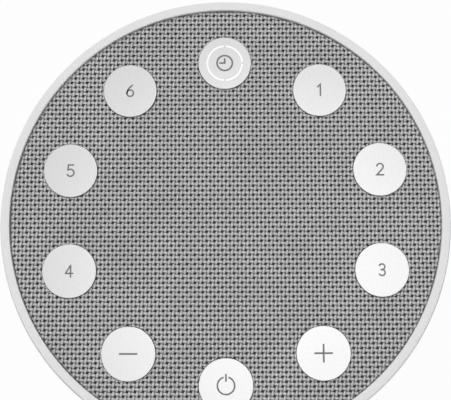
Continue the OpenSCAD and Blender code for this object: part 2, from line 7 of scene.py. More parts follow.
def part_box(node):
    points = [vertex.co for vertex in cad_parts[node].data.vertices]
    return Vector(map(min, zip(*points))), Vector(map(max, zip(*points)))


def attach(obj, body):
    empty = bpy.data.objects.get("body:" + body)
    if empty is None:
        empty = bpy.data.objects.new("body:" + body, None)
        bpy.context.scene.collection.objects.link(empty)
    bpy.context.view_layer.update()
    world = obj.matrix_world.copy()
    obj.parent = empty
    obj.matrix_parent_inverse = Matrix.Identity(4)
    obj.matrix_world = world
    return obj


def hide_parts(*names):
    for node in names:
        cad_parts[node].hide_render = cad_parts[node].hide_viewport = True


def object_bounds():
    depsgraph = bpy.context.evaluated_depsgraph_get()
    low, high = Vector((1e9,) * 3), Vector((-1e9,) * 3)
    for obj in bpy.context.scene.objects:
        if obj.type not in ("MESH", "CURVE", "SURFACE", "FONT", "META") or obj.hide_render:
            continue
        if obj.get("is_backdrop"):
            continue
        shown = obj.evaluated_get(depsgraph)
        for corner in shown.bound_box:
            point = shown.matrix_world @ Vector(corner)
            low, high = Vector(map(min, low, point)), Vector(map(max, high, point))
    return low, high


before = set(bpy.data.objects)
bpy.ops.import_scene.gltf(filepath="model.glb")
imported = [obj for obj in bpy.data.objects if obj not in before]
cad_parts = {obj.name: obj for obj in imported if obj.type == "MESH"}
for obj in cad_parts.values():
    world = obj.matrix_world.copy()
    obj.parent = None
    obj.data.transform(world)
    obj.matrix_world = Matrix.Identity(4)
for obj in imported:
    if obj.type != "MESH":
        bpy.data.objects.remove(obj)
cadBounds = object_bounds()
print("frame loaded:", len(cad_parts), "nodes")

mm = 0.001
overcut = 1.0                          # mm by which a cutting tool reaches past what it cuts
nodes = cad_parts
# The buttons, clockwise from the one at the back
clockwise = ["timer", "sound_1", "sound_2", "sound_3", "plus", "power", "minus",
             "sound_4", "sound_5", "sound_6"]

camera = {
    "place": (1.59, -35.14, 358.03),   # mm, almost straight above the middle
    "turn": (7.55, 0.28, -0.27),       # degrees
    "lens": 86.46, "sensor": 36,       # mm
    "nearest": 0.01, "farthest": 20,   # metres, where its view begins and ends
}
cameraData = bpy.data.cameras.new("camera")
cameraData.sensor_width = camera["sensor"]
cameraData.lens = camera["lens"]
cameraData.clip_start = camera["nearest"]
cameraData.clip_end = camera["farthest"]
cameraObject = bpy.data.objects.new("camera", cameraData)
cameraObject.rotation_mode = "ZYX"
cameraObject.rotation_euler = [radians(a) for a in camera["turn"]]
cameraObject.location = [v * mm for v in camera["place"]]
bpy.context.scene.collection.objects.link(cameraObject)
bpy.context.scene.camera = cameraObject
print("camera placed")


# sRGB hex to a linear RGBA colour
def linear(hexColour):
    parts = [int(hexColour[i:i + 2], 16) / 255 for i in (1, 3, 5)]
    return [p / 12.92 if p <= 0.04045 else ((p + 0.055) / 1.055) ** 2.4 for p in parts] + [1.0]


def addNode(tree, kind, settings=None, links=None):
    node = tree.nodes.new(kind)
    for key, value in (settings or {}).items():
        if isinstance(key, str) and hasattr(node, key):
            setattr(node, key, value)
        else:
            node.inputs[key].default_value = value
    for key, source in (links or {}).items():
        tree.links.new(source, node.inputs[key])
    return node


# A Geometry Nodes tree from named inputs and rows of (label, kind, settings, links); a link names
# an earlier row, a row and one of its outputs, or an input
def newTree(name, inputs, rows):
    tree = bpy.data.node_groups.new(name, "GeometryNodeTree")
    tree.is_modifier = True
    for label, kind in inputs:
        tree.interface.new_socket(label, in_out="INPUT", socket_type="NodeSocket" + kind)
    tree.interface.new_socket("Geometry", in_out="OUTPUT", socket_type="NodeSocketGeometry")
    given = addNode(tree, "NodeGroupInput")
    made = {}
    for label, kind, settings, links in rows:
        found = {}
        for socket, source in links.items():
            row, output = source if isinstance(source, tuple) else (source, 0)
            found[socket] = made[row].outputs[output] if row in made else given.outputs[row]
        made[label] = addNode(tree, kind, settings, found)
    return tree


# A plain mesh made by a tree, its inputs set by name
def grown(name, tree, values):
    work = bpy.data.objects.new(name + "_work", bpy.data.meshes.new(name + "_start"))
    bpy.context.scene.collection.objects.link(work)
    modifier = work.modifiers.new("tree", "NODES")
    modifier.node_group = tree
    for item in tree.interface.items_tree:
        if item.in_out == "INPUT" and item.name in values:
            modifier[item.identifier] = values[item.name]
    graph = bpy.context.evaluated_depsgraph_get()
    mesh = bpy.data.meshes.new_from_object(work.evaluated_get(graph))
    bpy.data.objects.remove(work)
    mesh.name = name
    return mesh


def newMaterial(name, colour, roughness, more=None):
    material = bpy.data.materials.new(name)
    material.use_nodes = True
    shader = material.node_tree.nodes["Principled BSDF"]
    shader.inputs["Base Color"].default_value = linear(colour)
    shader.inputs["Roughness"].default_value = roughness
    for key, value in (more or {}).items():
        shader.inputs[key].default_value = value
    return material


surface = {
    "detail": 3.0, "roughness": 0.55,   # of the fine grain's noise
    "bump": 0.35, "gloss": 0.04,        # how far the grain shows in height and in roughness
    "slowDetail": 2.0,                  # of the noise behind the slow drift of tone
    "usual": (0.3, 0.7),                # most values of a noise lie between these
}


# Gives a material its surface: a fine uneven grain in bump and gloss, and a slow drift of tone
def texture(material, grainMm, depthMm, mottle=0.04, mottleMm=14, stretch=(1, 1, 1)):
    low, high = surface["usual"]
    tree = material.node_tree
    shader = tree.nodes["Principled BSDF"]
    base = list(shader.inputs["Base Color"].default_value)
    rough = shader.inputs["Roughness"].default_value
    where = addNode(tree, "ShaderNodeTexCoord").outputs["Object"]
    laid = addNode(tree, "ShaderNodeMapping", {"Scale": stretch}, {"Vector": where}).outputs["Vector"]
    grain = addNode(tree, "ShaderNodeTexNoise",
                    {"Scale": 1 / (grainMm * mm), "Detail": surface["detail"],
                     "Roughness": surface["roughness"]}, {"Vector": laid})
    bump = addNode(tree, "ShaderNodeBump", {"Strength": surface["bump"], "Distance": depthMm * mm},
                   {"Height": grain.outputs["Fac"]})
    tree.links.new(bump.outputs["Normal"], shader.inputs["Normal"])
    slow = addNode(tree, "ShaderNodeTexNoise",
                   {"Scale": 1 / (mottleMm * mm), "Detail": surface["slowDetail"]}, {"Vector": where})
    tone = addNode(tree, "ShaderNodeMapRange",
                   {"From Min": low, "From Max": high, "To Min": 1 - mottle, "To Max": 1 + mottle},
                   {"Value": slow.outputs["Fac"]})
    scaled = addNode(tree, "ShaderNodeVectorMath", {"operation": "SCALE", 0: base[:3]},
                     {"Scale": tone.outputs["Result"]})
    tree.links.new(scaled.outputs["Vector"], shader.inputs["Base Color"])
    gloss = addNode(tree, "ShaderNodeMapRange",
                    {"From Min": low, "From Max": high,
                     "To Min": rough - surface["gloss"], "To Max": rough + surface["gloss"]},
                    {"Value": grain.outputs["Fac"]})
    tree.links.new(gloss.outputs["Result"], shader.inputs["Roughness"])
    return material


# Painted shade and light: darkens a piece's colour where it lies low and lightens it where it stands
# high, as shade falls in the dips, heights in mm
def paintShadeByHeight(material, low, high, dark, light):
    tree = material.node_tree
    socket = tree.nodes["Principled BSDF"].inputs["Base Color"]
    where = addNode(tree, "ShaderNodeTexCoord").outputs["Object"]
    height = addNode(tree, "ShaderNodeSeparateXYZ", None, {0: where}).outputs["Z"]
    tone = addNode(tree, "ShaderNodeMapRange",
                   {"From Min": low * mm, "From Max": high * mm, "To Min": dark, "To Max": light},
                   {"Value": height}).outputs["Result"]
    scaled = addNode(tree, "ShaderNodeVectorMath", {"operation": "SCALE"},
                     {0: socket.links[0].from_socket, "Scale": tone}).outputs["Vector"]
    tree.links.new(scaled, socket)
    return material


# Injection-moulded ABS with a fine spark-eroded grain: a soft, even white with no clear reflections
housingAbs = texture(newMaterial("housing_abs", "#EEEEEE", 0.75, {"IOR": 1.53}), 0.35, 0.02, 0.006)
# The same ABS under a clear lacquer: a satin white that takes a broad soft highlight
buttonAbs = texture(newMaterial("button_abs", "#D0D0D0", 0.29, {
    "IOR": 1.53, "Coat Weight": 1.0, "Coat Roughness": 0.29, "Coat IOR": 1.6}), 0.5, 0.004, 0.004)
# Black moulded ABS of the grille frame and the power socket: a dull near-black
blackAbs = texture(newMaterial("black_abs", "#252526", 0.8, {"IOR": 1.45}), 0.4, 0.03, 0.08)
# Spun polyester yarn: a soft grey with the faint shine of fibres along the thread, where their index
# is near 1.7
warpYarn = texture(newMaterial("polyester_warp", "#BBBBBB", 0.3, {"IOR": 1.7, "Sheen Weight": 0.1}),
                   0.09, 0.04, 0.05, 9, (1, 0.3, 1))
weftYarn = texture(newMaterial("polyester_weft", "#BBBBBB", 0.3, {"IOR": 1.7, "Sheen Weight": 0.1}),
                   0.09, 0.04, 0.05, 9, (0.3, 1, 1))
# Painted shade where a thread dives under, and painted light on its crown: heights in mm, and shares of
# the colour
yarnPaintedShade = {"low": 48.6, "high": 49.04, "dark": 0.7, "light": 1.27}
for yarn in (warpYarn, weftYarn):
    paintShadeByHeight(yarn, **yarnPaintedShade)
# Needled felt bonded under the weave: an even, dull dark grey in the openings
liningFelt = texture(newMaterial("lining_felt", "#454546", 1.0), 0.3, 0.05, 0.06, 3)
# Moulded natural rubber: a dull dark grey
footRubber = texture(newMaterial("foot_rubber", "#2B2B2C", 0.85), 0.3, 0.03, 0.1)
# Zinc-plated steel of the screws: a pale metal with a soft gloss
screwSteel = texture(newMaterial("screw_steel", "#B4B5B8", 0.35, {"Metallic": 1.0}), 0.2, 0.01, 0.05)
# Clear acrylic with a light behind it: an even white glow
lightGuide = texture(newMaterial("light_guide", "#F2F2F2", 0.25, {
    "IOR": 1.49, "Emission Color": (1, 1, 1, 1), "Emission Strength": 0.17}), 0.3, 0.002, 0.01, 3)
# Clear epoxy of a small lamp over its yellow phosphor: a pale cream
lampResin = texture(newMaterial("lamp_resin", "#F4EFD8", 0.2, {"IOR": 1.54}), 0.5, 0.005, 0.03)
# Glass-epoxy laminate under green solder mask: a glossy dark green
boardLaminate = texture(newMaterial("board_laminate", "#1E4D33", 0.32, {"IOR": 1.55}), 0.6, 0.01, 0.1)
# Moulded epoxy of a chip: matt black with a fine grain
chipResin = texture(newMaterial("chip_resin", "#1D1D1E", 0.55), 0.15, 0.02, 0.06)
# Nylon of a push switch: a plain dark grey, a little waxy
switchPlastic = texture(newMaterial("switch_plastic", "#2A2A2B", 0.45), 0.3, 0.01, 0.05)
# Closed-cell foam: dull black with a deep grain
gasketFoam = texture(newMaterial("gasket_foam", "#202021", 0.95), 0.5, 0.15, 0.2, 3)
# Pressed steel under black powder coat: fine orange peel with a low sheen
basketSteel = texture(newMaterial("basket_steel", "#2C2C2E", 0.45), 0.5, 0.03, 0.06)
# Zinc-plated steel of the speaker's motor: a metal a little darker than the screws
motorSteel = texture(newMaterial("motor_steel", "#A9ABAE", 0.38, {"Metallic": 1.0}), 0.25, 0.015, 0.05)
# Sintered ferrite: a dark grey ceramic with a dusty face
magnetFerrite = texture(newMaterial("magnet_ferrite", "#38383A", 0.7), 0.3, 0.03, 0.1)
# Butyl rubber roll: smooth soft black
surroundRubber = texture(newMaterial("surround_rubber", "#19191A", 0.55), 0.4, 0.01, 0.05)
# Phenolic-dipped cotton: stiff brown cloth
spiderCloth = texture(newMaterial("spider_cloth", "#A07B4A", 0.8), 0.35, 0.08, 0.12, 4)
# Pressed paper pulp: a dull dark grey, uneven in tone
conePaper = texture(newMaterial("cone_paper", "#26262A", 0.85), 0.5, 0.08, 0.2, 3)
# Enamelled copper wire: warm metal, its grain flat like the turns of the coil
coilCopper = texture(newMaterial("coil_copper", "#B4653A", 0.3, {"Metallic": 1.0}), 0.2, 0.05, 0.05,
                     14, (1, 1, 4))
# Phenolic tag board: brown and matt
terminalBoard = texture(newMaterial("terminal_board", "#8A5A34", 0.6), 0.4, 0.02, 0.1)
# Brass contact: pale gold metal
contactBrass = texture(newMaterial("contact_brass", "#C9B27A", 0.28, {"Metallic": 1.0}), 0.2, 0.01, 0.04)
# Heat-shrunk PVC sleeve: smooth slate blue
capacitorSleeve = texture(newMaterial("capacitor_sleeve", "#3C4654", 0.35), 0.6, 0.01, 0.05)
# Natural nylon of a wire socket: a warm white
socketNylon = texture(newMaterial("socket_nylon", "#E2DDCB", 0.45), 0.4, 0.01, 0.04)
# PVC wire sleeves: smooth with a low gloss
redWire = texture(newMaterial("red_wire", "#A32A22", 0.4), 0.5, 0.01, 0.05)
greyWire = texture(newMaterial("grey_wire", "#77787A", 0.4), 0.5, 0.01, 0.05)
# Pad-printed ink: flat grey with a dry face
legendInk = texture(newMaterial("legend_ink", "#6E7071", 0.6), 0.2, 0.004, 0.03, 5)
print("materials ready")


def addPiece(name, mesh, material, body, replaces=()):
    piece = bpy.data.objects.new(name, mesh)
    bpy.context.scene.collection.objects.link(piece)
    mesh.materials.clear()
    mesh.materials.append(material)
    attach(piece, body)
    if replaces:
        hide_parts(*replaces)
    return piece


sharpAngle = 32                        # degrees, past which an edge stays crisp


def smoothed(mesh, angle=sharpAngle):
    mesh.polygons.foreach_set("use_smooth", [True] * len(mesh.polygons))
    mesh.set_sharp_from_angle(angle=radians(angle))
    mesh.update()
    return mesh


# A mesh of what a bmesh holds, its faces turned outwards if they may point either way
def meshFrom(bm, name, turnFaces=False):
    if turnFaces:
        bmesh.ops.recalc_face_normals(bm, faces=bm.faces)
    mesh = bpy.data.meshes.new(name)
    bm.to_mesh(mesh)
    bm.free()
    return mesh


# One mesh of several that stay apart in it
def gathered(name, meshes):
    bm = bmesh.new()
    for mesh in meshes:
        bm.from_mesh(mesh)
    return meshFrom(bm, name)


# Points in mm on an arc of a profile, from one angle to another
def arc(centreR, centreZ, radius, start, end, steps):
    angles = [radians(start + (end - start) * i / steps) for i in range(steps + 1)]
    return [(centreR + radius * cos(a), centreZ + radius * sin(a)) for a in angles]


# Points that round a corner of a profile, between the points before and after it
def rounded(before, corner, after, radius, steps):
    before, corner, after = Vector(before), Vector(corner), Vector(after)
    inward = (before - corner).normalized()
    onward = (after - corner).normalized()
    half = inward.angle(onward) / 2
    centre = corner + (inward + onward).normalized() * radius / sin(half)
    first = corner + inward * radius / tan(half) - centre
    last = corner + onward * radius / tan(half) - centre
    start = atan2(first.y, first.x)
    turn = atan2(first.x * last.y - first.y * last.x, first.dot(last))
    angles = [start + turn * i / steps for i in range(steps + 1)]
    return [(centre.x + radius * cos(a), centre.y + radius * sin(a)) for a in angles]


# Turns a profile of (r, z) points in mm about a vertical axis into a closed mesh
def lathe(name, profile, steps, centre=(0, 0), closed=False):
    bm = bmesh.new()
    rings = []
    for r, z in profile:
        if r == 0:                                 # a single point on the axis
            rings.append([bm.verts.new((centre[0] * mm, centre[1] * mm, z * mm))])
            continue
        rings.append([bm.verts.new(((centre[0] + r * cos(2 * pi * k / steps)) * mm,
                                    (centre[1] + r * sin(2 * pi * k / steps)) * mm, z * mm))
                      for k in range(steps)])
    pairs = list(zip(rings, rings[1:] + rings[:1])) if closed else list(zip(rings, rings[1:]))
    for low, high in pairs:
        for k in range(steps):
            j = (k + 1) % steps
            if len(low) == 1:
                bm.faces.new([low[0], high[j], high[k]])
            elif len(high) == 1:
                bm.faces.new([low[k], low[j], high[0]])
            else:
                bm.faces.new([low[k], low[j], high[j], high[k]])
    return smoothed(meshFrom(bm, name, True))


# The piece's mesh with its modifiers made real
def finished(piece, angle=sharpAngle):
    graph = bpy.context.evaluated_depsgraph_get()
    mesh = bpy.data.meshes.new_from_object(piece.evaluated_get(graph))
    return smoothed(mesh, angle)


# The mesh after each cutter mesh is taken away from it, or joined to it
def carve(name, mesh, cutters, operation="DIFFERENCE", angle=sharpAngle):
    work = bpy.data.objects.new(name + "_work", mesh)
    bpy.context.scene.collection.objects.link(work)
    tools = []
    for i, cutter in enumerate(cutters):
        tool = bpy.data.objects.new(name + "_tool" + str(i), cutter)
        bpy.context.scene.collection.objects.link(tool)
        tools.append(tool)
        step = work.modifiers.new("cut" + str(i), "BOOLEAN")
        step.operation = operation
        step.solver = "EXACT"
        step.object = tool
    made = finished(work, angle)
    for extra in tools + [work]:
        bpy.data.objects.remove(extra)
    made.name = name
    return made


# A straight solid between two heights, its outline a list of (x, y) in mm
def prism(name, outline, low, high):
    bm = bmesh.new()
    bottom = [bm.verts.new((x * mm, y * mm, low * mm)) for x, y in outline]
    top = [bm.verts.new((x * mm, y * mm, high * mm)) for x, y in outline]
    bm.faces.new(bottom[::-1])
    bm.faces.new(top)
    for k in range(len(outline)):
        j = (k + 1) % len(outline)
        bm.faces.new([bottom[k], bottom[j], top[j], top[k]])
    return meshFrom(bm, name, True)


shell = {                              # mm, and numbers of steps; a hold keeps a face flat up to its edge
    "outerRadius": 65.25, "widestHeight": 46.0, "widestRound": 5.0, "shoulder": 0.9,
    "rimRadius": 62.0, "top": 50.0, "rimRound": 0.3, "rimEdge": 0.12, "rimHold": 0.2,
    "baseRadius": 62.6, "baseRound": 3.4, "bottom": 1.6, "baseHold": 0.3,
    "lipRadius": 57.8, "seatRadius": 56.0, "seatLow": 4.0, "seatHigh": 6.0,
    "wall": 2.2, "lean": 2.8, "wallHeights": (5.6, 20, 34),
    "ledgeRadius": 57.8, "ledgeTop": 46.0, "ledgeLow": 44.0, "ledgeSlope": 1,
    "bosses": 4, "bossCircle": 51.4, "boss": 7.5, "bossBore": 3.0, "bossLow": 6.0, "bossHigh": 20.0,
    "boreRoof": 1,                     # left above a screw's bore
    "portHeight": 15.5, "portBore": 8.2, "portDish": 12.6, "portFace": 62.6,
    "portStart": 40, "portEnd": 70,    # how far from the middle the port's cutting tools reach
    "steps": 256, "baseSteps": 16, "rimSteps": 8, "bossSteps": 40, "boreSteps": 32, "portSteps": 64,
}


# The outer wall's radius at a height
def wallRadius(z):
    s = shell
    return s["outerRadius"] - s["lean"] * (s["widestHeight"] - z) / (
        s["widestHeight"] - s["bottom"] - s["baseRound"])


def shellMesh():
    s = shell
    inside = s["wall"]
    profile = [(s["lipRadius"], s["bottom"]),
               (s["baseRadius"] - s["baseRound"] - s["baseHold"], s["bottom"])]
    profile += arc(s["baseRadius"] - s["baseRound"], s["bottom"] + s["baseRound"], s["baseRound"],
                   -90, 0, s["baseSteps"])
    wall = [(wallRadius(z), z) for z in s["wallHeights"]]
    widest = (s["outerRadius"], s["widestHeight"])
    rim = (s["outerRadius"] - s["shoulder"], s["top"])
    profile += wall
    profile += rounded(wall[-1], widest, rim, s["widestRound"], s["rimSteps"])
    profile += rounded(widest, rim, (s["rimRadius"], s["top"]), s["rimRound"], s["rimSteps"])
    profile += arc(s["rimRadius"] + s["rimEdge"], s["top"] - s["rimEdge"], s["rimEdge"], 90, 180,
                   s["rimSteps"])
    slopeEnd = s["ledgeLow"] - s["ledgeSlope"]
    profile += [(s["rimRadius"], s["top"] - s["rimEdge"] - s["rimHold"]),
                (s["rimRadius"], s["ledgeTop"]),
                (s["ledgeRadius"], s["ledgeTop"]), (s["ledgeRadius"], s["ledgeLow"]),
                (wallRadius(s["ledgeLow"]) - inside - s["ledgeSlope"], s["ledgeLow"]),
                (wallRadius(slopeEnd) - inside, slopeEnd),
                (wallRadius(s["seatHigh"]) - inside, s["seatHigh"]),
                (s["seatRadius"], s["seatHigh"]), (s["seatRadius"], s["seatLow"]),
                (s["lipRadius"], s["seatLow"])]
    body = lathe("shell_body", profile, s["steps"], closed=True)
    posts, holes = [], []
    for k in range(s["bosses"]):
        a = 2 * pi * (k + 0.5) / s["bosses"]       # between the four sides
        x, y = s["bossCircle"] * cos(a), s["bossCircle"] * sin(a)
        boss = [(0, s["bossLow"]), (s["boss"] / 2, s["bossLow"]), (s["boss"] / 2, s["bossHigh"]),
                (0, s["bossHigh"])]
        posts.append(lathe("boss", boss, s["bossSteps"], (x, y)))
        far = wallRadius(s["bossLow"]) - inside / 2
        half = inside / 2
        rib = [(s["bossCircle"], -half), (far, -half), (far, half), (s["bossCircle"], half)]
        rib = [(u * cos(a) - v * sin(a), u * sin(a) + v * cos(a)) for u, v in rib]
        posts.append(prism("rib", rib, s["bossLow"], s["bossHigh"]))
        boreLow, boreHigh = s["bossLow"] - overcut, s["bossHigh"] - s["boreRoof"]
        bore = [(0, boreLow), (s["bossBore"] / 2, boreLow), (s["bossBore"] / 2, boreHigh),
                (0, boreHigh)]
        holes.append(lathe("bore", bore, s["boreSteps"], (x, y)))
    upright = Matrix.Rotation(radians(-90), 4, "X")
    place = Matrix.Translation((0, 0, s["portHeight"] * mm)) @ upright
    for diameter, start in ((s["portBore"], s["portStart"]), (s["portDish"], s["portFace"])):
        r = diameter / 2
        mouth = [(0, start), (r, start), (r, s["portEnd"]), (0, s["portEnd"])]
        hole = lathe("port", mouth, s["portSteps"])
        hole.transform(place)
        holes.append(hole)
    made = carve("housing_shell", body, posts, "UNION")
    return carve("housing_shell", made, holes)


addPiece("housing_shell", shellMesh(), housingAbs, "housing", ["outer_shell"])
print("housing ready")


cap = {                                # mm, and numbers of steps, with holds as on the shell
    "radius": 7.7, "top": 49.6, "edge": 0.14, "sideHold": 0.1, "topHold": 0.08,
    "topThickness": 1.4, "skirt": 6.5,
    "flange": 8.9, "flangeLow": 42.2, "flangeHigh": 43.4, "stem": 2.2, "stemLow": 42.7,
    "keyReach": 0.85, "keyWidth": 2.0, "keyHeight": 2.2, "keyRoot": 0.5,
    "steps": 128, "edgeSteps": 12,
}
light = {                              # mm, and degrees
    "radius": 5.07, "line": 0.57, "gap": 0.03, "low": 47.0, "sunk": 0.04, "root": 0.2,
    "ring": 0.9, "ringHeight": 1.2, "ringSteps": 96,
    "arcs": [(-86.75, 83.5), (3.25, 83.5), (93.25, 173.5)],   # start and sweep of each
    "arcStep": 3,
}


# Centre of a button by its place in the clockwise list, the timer at the back
def buttonCentre(i):
    low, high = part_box(clockwise[i] + "_button")
    return (low.x + high.x) / 2 / mm, (low.y + high.y) / 2 / mm


def capMesh(i):
    c = cap
    under = c["top"] - c["topThickness"]
    profile = [(0, c["stemLow"]), (c["stem"], c["stemLow"]), (c["stem"], under), (c["skirt"], under),
               (c["skirt"], c["flangeLow"]), (c["flange"], c["flangeLow"]),
               (c["flange"], c["flangeHigh"]), (c["radius"], c["flangeHigh"]),
               (c["radius"], c["top"] - c["edge"] - c["sideHold"])]
    profile += arc(c["radius"] - c["edge"], c["top"] - c["edge"], c["edge"], 0, 90, c["edgeSteps"])
    profile += [(c["radius"] - c["edge"] - c["topHold"], c["top"]), (0, c["top"])]
    x, y = buttonCentre(i)
    keys = []
    for side in (1, -1):                           # two keys stop the cap from turning in its well
        near, far = side * (c["radius"] - c["keyRoot"]), side * (c["radius"] + c["keyReach"])
        half = c["keyWidth"] / 2
        a = radians(-360 / len(clockwise) * i)
        corners = [(near, -half), (far, -half), (far, half), (near, half)]
        outline = [(x + u * cos(a) - v * sin(a), y + u * sin(a) + v * cos(a)) for u, v in corners]
        keys.append(prism("key", outline, c["flangeHigh"] - c["keyRoot"],
                          c["flangeHigh"] + c["keyHeight"]))
    return carve("cap", lathe("cap", profile, c["steps"], (x, y)), keys, "UNION")


# A bar bent along a part of the light's circle
def arcBar(start, sweep, grow, low, high, centre):
    inner = light["radius"] - light["line"] / 2 - grow
    outer = light["radius"] + light["line"] / 2 + grow
    steps = ceil(sweep / light["arcStep"])
    angles = [radians(start + sweep * k / steps) for k in range(steps + 1)]
    outline = [(centre[0] + outer * cos(a), centre[1] + outer * sin(a)) for a in angles]
    outline += [(centre[0] + inner * cos(a), centre[1] + inner * sin(a)) for a in reversed(angles)]
    return prism("arc", outline, low, high)


for i, name in enumerate(clockwise):
    mesh = capMesh(i)
    if name == "timer":
        slots = [arcBar(a, sweep, light["gap"], light["low"], cap["top"] + overcut, buttonCentre(i))
                 for a, sweep in light["arcs"]]
        mesh = carve("timer_cap", mesh, slots)
    addPiece(name + "_cap", mesh, buttonAbs, name + "_key", [name + "_button"])


# The light guide: a ring under the cap's roof with an arc in each slot, a hair below the cap's top
def lightMesh():
    centre = buttonCentre(clockwise.index("timer"))
    roof = cap["top"] - cap["topThickness"]
    inner, outer = light["radius"] - light["ring"], light["radius"] + light["ring"]
    profile = [(inner, roof - light["ringHeight"]), (outer, roof - light["ringHeight"]),
               (outer, roof), (inner, roof)]
    bars = [arcBar(a, sweep, 0, roof - light["root"], cap["top"] - light["sunk"], centre)
            for a, sweep in light["arcs"]]
    ring = lathe("light_ring", profile, light["ringSteps"], centre, closed=True)
    return carve("timer_light", ring, bars, "UNION")


addPiece("timer_light", lightMesh(), lightGuide, "timer_key", ["timer_light_ring"])
print("buttons ready")


sign = {                               # mm, and degrees
    "line": 0.44, "height": 0.03, "sunk": 0.02, "digit": 3.3,
    "clockRadius": 2.23, "clockLine": 0.49, "hands": (1.25, 1.37),
    "powerRadius": 2.43, "powerLine": 0.46, "powerGap": 20, "powerBar": (1.3, 3.14),
    "plus": 5.3, "plusLine": 0.5,
    "digitStep": 10, "ringStep": 6,    # from one point of a curve to the next
    "tip": 75, "tipStep": 15,          # how far a line's round end reaches to each side
    "mitre": 0.35,                     # keeps the corner of a sharp bend from reaching far out
    "crisp": 40,                       # past which an edge stays crisp
}


def curvePoints(centreX, centreY, radius, start, end, stepDegrees=sign["digitStep"]):
    steps = max(2, ceil(abs(end - start) / stepDegrees))
    angles = [radians(start + (end - start) * k / steps) for k in range(steps + 1)]
    return [(centreX + radius * cos(a), centreY + radius * sin(a)) for a in angles]


# The outline of a line of even width through a few points, with round ends
def strokeOutline(points, width, loop=False):
    count = len(points)
    left, right = [], []
    for k in range(count):
        before = points[k - 1] if (k > 0 or loop) else points[k]
        after = points[(k + 1) % count] if (k < count - 1 or loop) else points[k]
        here = points[k]
        inward = Vector((here[0] - before[0], here[1] - before[1]))
        onward = Vector((after[0] - here[0], after[1] - here[1]))
        inward = onward.copy() if inward.length == 0 else inward       # at a line's first point
        onward = inward.copy() if onward.length == 0 else onward       # and at its last
        inward.normalize()
        onward.normalize()
        along = (inward + onward).normalized()
        side = Vector((-along.y, along.x)) * (width / 2) / max(sign["mitre"], along.dot(onward))
        left.append((here[0] + side.x, here[1] + side.y))
        right.append((here[0] - side.x, here[1] - side.y))
    return left, right


# A thin printed line on a cap, as a closed mesh
def strokeMesh(points, width, centre, loop=False):
    low, high = cap["top"] - sign["sunk"], cap["top"] + sign["height"]
    shifted = [(x + centre[0], y + centre[1]) for x, y in points]
    left, right = strokeOutline(shifted, width, loop)
    if not loop:
        ends = []
        for tip, neighbour in ((shifted[0], shifted[1]), (shifted[-1], shifted[-2])):
            heading = atan2(tip[1] - neighbour[1], tip[0] - neighbour[0])
            ends.append([(tip[0] + width / 2 * cos(heading + radians(a)),
                          tip[1] + width / 2 * sin(heading + radians(a)))
                         for a in range(-sign["tip"], sign["tip"] + 1, sign["tipStep"])])
        outline = left + ends[1][::-1] + right[::-1] + ends[0][::-1]
        return prism("stroke", outline, low, high)
    bm = bmesh.new()
    rows = [[bm.verts.new((x * mm, y * mm, z * mm)) for x, y in edge]
            for edge, z in ((left, low), (left, high), (right, high), (right, low))]
    for a, b in zip(rows, rows[1:] + rows[:1]):
        for k in range(len(a)):
            j = (k + 1) % len(a)
            bm.faces.new([a[k], a[j], b[j], b[k]])
    return meshFrom(bm, "stroke", True)


# Open lines that draw a digit one unit high, its middle at 0, 0
def digitStrokes(digit):
    drawn = {
        1: [[(-0.17, 0.27), (0.07, 0.5), (0.07, -0.5)]],
        2: [curvePoints(0, 0.22, 0.28, 165, -35) + [(-0.28, -0.5), (0.3, -0.5)]],
        3: [curvePoints(-0.02, 0.255, 0.245, 150, -90) + [(-0.1, 0.01)],
            [(-0.1, 0.01)] + curvePoints(-0.02, -0.24, 0.26, 90, -150)],
        4: [[(0.13, 0.5), (0.13, -0.5)], [(0.13, 0.5), (-0.31, -0.2)], [(-0.31, -0.2), (0.32, -0.2)]],
        5: [[(0.25, 0.5), (-0.19, 0.5)], [(-0.19, 0.5), (-0.23, 0.04)],
            [(-0.23, 0.04)] + curvePoints(-0.01, -0.19, 0.31, 125, -150)],
        6: [curvePoints(0, -0.21, 0.29, 180, -180),
            [(0.19, 0.5), (0.02, 0.36), (-0.13, 0.19), (-0.24, 0.0), (-0.29, -0.21)]],
    }
    return drawn[digit]


# Joins a sign's lines into one solid, or the clock's ring and hands, which don't touch, into one mesh
def signMesh(name, strokes):
    if name == "timer_clock_sign":
        return smoothed(gathered(name, strokes), sign["crisp"])
    if len(strokes) == 1:
        return smoothed(strokes[0], sign["crisp"])
    return carve(name, strokes[0], strokes[1:], "UNION", sign["crisp"])


def capSign(name, i):
    s = sign
    centre = buttonCentre(i)
    if name.startswith("sound"):
        size = s["digit"]
        lines = [[(x * size, y * size) for x, y in line] for line in digitStrokes(int(name[-1]))]
        return [strokeMesh(line, s["line"], centre) for line in lines]
    if name == "timer":
        face = curvePoints(0, 0, s["clockRadius"], 0, 360, s["ringStep"])[:-1]
        hands = [(0, s["hands"][0]), (0, 0), (-s["hands"][1], 0)]
        return [strokeMesh(face, s["clockLine"], centre, True),
                strokeMesh(hands, s["clockLine"], centre)]
    if name == "power":
        ring = curvePoints(0, 0, s["powerRadius"], 90 + s["powerGap"], 450 - s["powerGap"],
                           s["ringStep"])
        bar = [(0, s["powerBar"][0]), (0, s["powerBar"][1])]
        return [strokeMesh(ring, s["powerLine"], centre), strokeMesh(bar, s["powerLine"], centre)]
    reach = s["plus"] / 2 - s["plusLine"] / 2
    lines = [strokeMesh([(-reach, 0), (reach, 0)], s["plusLine"], centre)]
    if name == "plus":
        lines.append(strokeMesh([(0, -reach), (0, reach)], s["plusLine"], centre))
    return lines


for i, name in enumerate(clockwise):
    label = "timer_clock_sign" if name == "timer" else name + "_sign"
    addPiece(label, signMesh(label, capSign(name, i)), legendInk, name + "_key")
print("signs ready")


